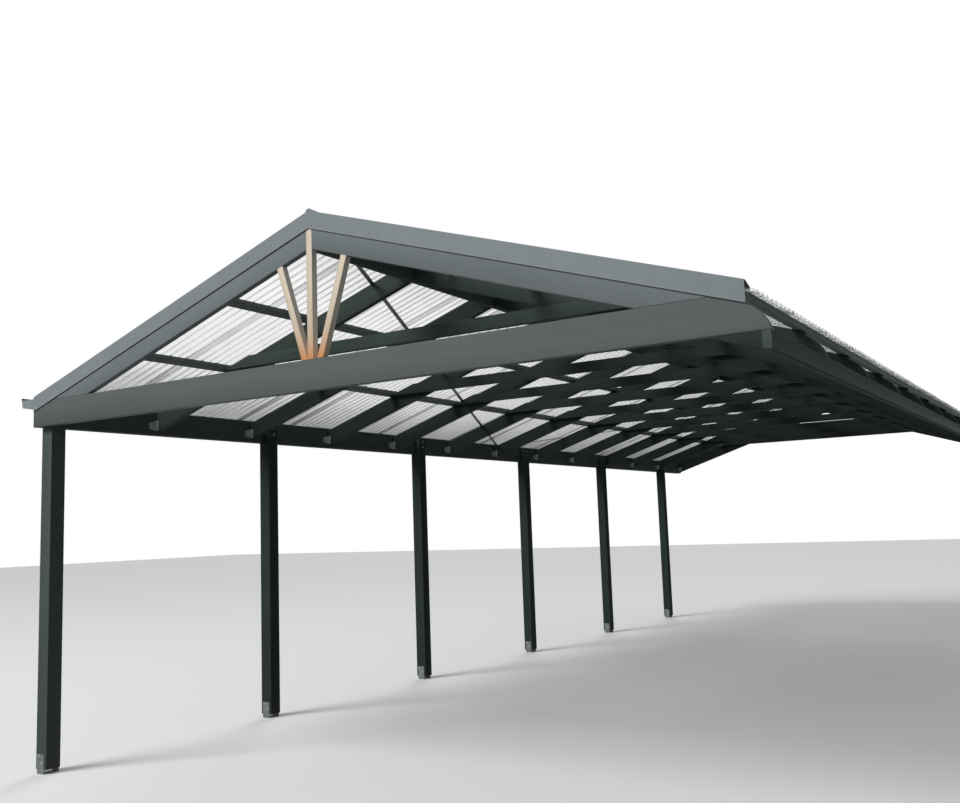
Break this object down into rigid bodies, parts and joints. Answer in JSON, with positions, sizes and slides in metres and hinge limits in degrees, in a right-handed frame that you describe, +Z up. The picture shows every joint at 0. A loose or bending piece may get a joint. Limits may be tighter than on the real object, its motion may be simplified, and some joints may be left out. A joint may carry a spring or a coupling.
{
  "type": "carport",
  "caption": "Lean-to gable carport: timber posts down one side, wall ledger on the other, rafters, collar ties, battens and corrugated clear roof sheets.",
  "frame": {"origin": "on the ground, at the middle of the underside of the front post's steel foot", "axes": "+Z up, +Y from the front gable back along the ridge, +X from the posts towards the wall"},
  "size_m": [5.615, 12.8746, 3.5876],
  "materials": {
    "painted_timber": "dark grey exterior paint on sawn and dressed timber",
    "pine": "bare pine",
    "galvanised_steel": "hot-dip galvanised",
    "capping": "blue-grey prepainted steel",
    "gutter": "blue-grey prepainted steel",
    "clear_sheet": "translucent corrugated polycarbonate"
  },
  "bodies": {
    "root": {"barge_cap_front_left": "capping", "barge_cap_front_right": "capping", "barge_cap_rear_left": "capping", "barge_cap_rear_right": "capping", "batten_left_lower": "painted_timber", "batten_left_ridge": "painted_timber", "batten_left_upper": "painted_timber", "batten_right_eave": "painted_timber", "batten_right_lower": "painted_timber", "batten_right_ridge": "painted_timber", "batten_right_upper": "painted_timber", "collar_ties": "painted_timber", "eave_gutter": "gutter", "framing_anchors_left": "galvanised_steel", "gable_fan_centre": "pine", "gable_fan_left": "pine", "gable_fan_right": "pine", "gable_rafter_left": "painted_timber", "gable_rafter_right": "painted_timber", "gable_tie_beam": "painted_timber", "left_eave_beam": "painted_timber", "post_1": "painted_timber", "post_2": "painted_timber", "post_3": "painted_timber", "post_4": "painted_timber", "post_5": "painted_timber", "post_6": "painted_timber", "post_stirrup_1": "galvanised_steel", "post_stirrup_2": "galvanised_steel", "post_stirrup_3": "galvanised_steel", "post_stirrup_4": "galvanised_steel", "post_stirrup_5": "galvanised_steel", "post_stirrup_6": "galvanised_steel", "rafters_left": "painted_timber", "rafters_right": "painted_timber", "ridge_board": "painted_timber", "ridge_cap": "capping", "roof_sheets_left": "clear_sheet", "roof_sheets_right": "clear_sheet", "strap_braces_left": "galvanised_steel", "strap_braces_right": "galvanised_steel", "wall_ledger": "painted_timber"}
  },
  "joints": []
}
